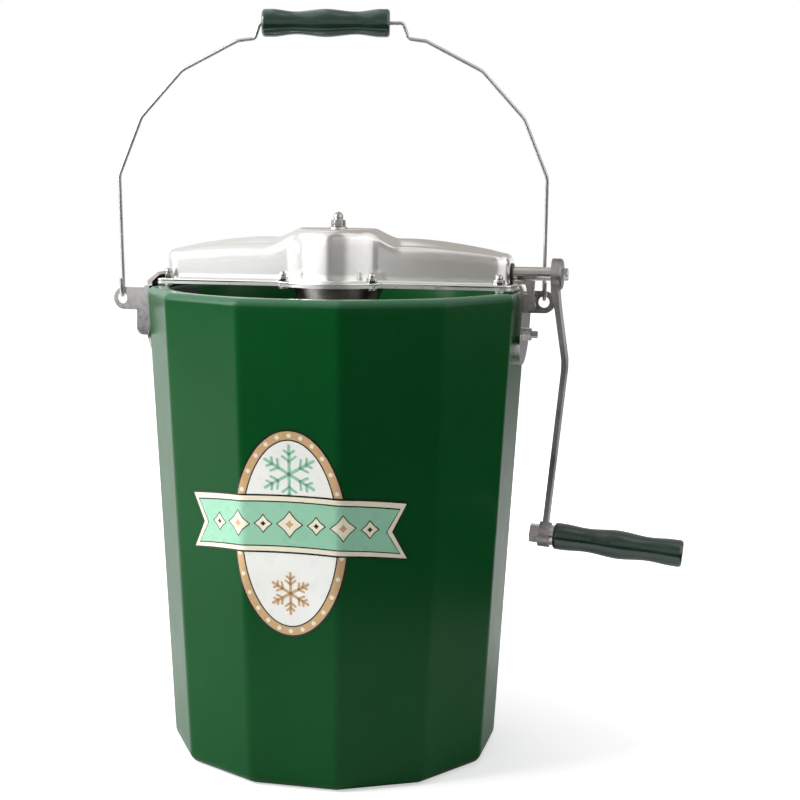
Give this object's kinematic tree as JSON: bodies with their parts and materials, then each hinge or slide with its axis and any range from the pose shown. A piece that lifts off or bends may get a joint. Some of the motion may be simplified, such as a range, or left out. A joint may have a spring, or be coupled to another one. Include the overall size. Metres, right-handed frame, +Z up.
{
  "type": "hand crank ice cream freezer",
  "caption": "Faceted tub with a cranked gear frame latched across its rim, a turning can with a fixed dasher inside, and a swinging wire bail with a turned grip.",
  "frame": {"origin": "middle of the tub's base, on the surface it stands on", "axes": "+Z up, +X toward the crank, -Y toward the side the picture sees"},
  "size_m": [0.4836, 0.3124, 0.6235],
  "materials": {
    "tub_green": "smooth, slightly glossy moulded green",
    "grip_green": "turned wood under glossy dark green paint",
    "pressed_steel": "satin pressed sheet",
    "plate_steel": "satin cut plate",
    "dark_steel": "black",
    "latch_steel": "satin",
    "fastener_steel": "bright",
    "cap_nut_steel": "bright polished",
    "shaft_steel": "ground",
    "crank_steel": "satin flat bar",
    "wire_steel": "drawn wire",
    "gear_iron": "machined teeth",
    "bush_brass": "turned",
    "bush_black": "black",
    "can_steel": "satin sheet",
    "dasher_metal": "cast",
    "scraper_plastic": "off-white"
  },
  "bodies": {
    "stand": {"tub": "tub_green", "left_bracket": "plate_steel", "right_bracket": "plate_steel", "left_backing_plate": "dark_steel", "right_backing_plate": "dark_steel", "bracket_bolts": "fastener_steel", "bracket_nuts": "fastener_steel", "latch_base": "plate_steel", "latch_pin": "fastener_steel", "gear_cover": "pressed_steel", "gear_pan": "pressed_steel", "flange_screws": "fastener_steel", "flange_cap_nuts": "cap_nut_steel", "centre_post": "fastener_steel", "post_washer": "fastener_steel", "post_cap_nut": "cap_nut_steel", "shaft_bush": "bush_black", "bearing_block": "bush_black", "gear_bush": "bush_brass", "thrust_washer": "bush_brass", "can_pivot_cup": "bush_black", "dasher_frame": "dasher_metal", "dasher_scrapers": "scraper_plastic"},
    "crank": {"crank_shaft": "shaft_steel", "shaft_collar": "shaft_steel", "pinion": "gear_iron", "pinion_pin": "shaft_steel", "crank_arm": "crank_steel", "arm_screw": "fastener_steel", "grip_bolt": "fastener_steel", "grip_nut": "fastener_steel", "grip_washer": "fastener_steel"},
    "crank_handle": {"crank_grip": "grip_green"},
    "gear": {"ring_gear": "gear_iron"},
    "can": {"can_body": "can_steel", "can_lid": "can_steel"},
    "bail": {"bail_wire": "wire_steel"},
    "bail_handle": {"bail_grip": "grip_green"},
    "latch": {"latch_hook": "latch_steel"}
  },
  "joints": [
    {"name": "crank_spin", "type": "hinge", "parent": "stand", "child": "crank", "pos_m": [0.1, 0, 0.4098], "axis": [1, 0, 0], "continuous": true},
    {"name": "crank_grip_spin", "type": "hinge", "parent": "crank", "child": "crank_handle", "pos_m": [0.24028, 0, 0.18653], "axis": [0.9963, 0, -0.0861], "continuous": true},
    {"name": "gear_spin", "type": "hinge", "parent": "stand", "child": "gear", "pos_m": [0, 0, 0.39], "axis": [0, 0, 1], "continuous": true},
    {"name": "can_spin", "type": "hinge", "parent": "stand", "child": "can", "pos_m": [0, 0, 0.2], "axis": [0, 0, 1], "continuous": true},
    {"name": "bail_swing", "type": "hinge", "parent": "stand", "child": "bail", "pos_m": [-0.005, 0, 0.39113], "axis": [0.9797, 0.2004, 0], "range_deg": [-138, 45]},
    {"name": "bail_grip_spin", "type": "hinge", "parent": "bail", "child": "bail_handle", "pos_m": [0.00221, -0.03524, 0.61207], "axis": [0.9797, 0.2004, 0], "continuous": true},
    {"name": "latch_swing", "type": "hinge", "parent": "stand", "child": "latch", "pos_m": [0.16698, -0.0115, 0.384], "axis": [0, 1, 0], "range_deg": [0, 45]}
  ],
  "couplings": [
    {"joint": "gear_spin", "follows": "crank_spin", "ratio": 0.33333},
    {"joint": "can_spin", "follows": "crank_spin", "ratio": 0.33333}
  ]
}
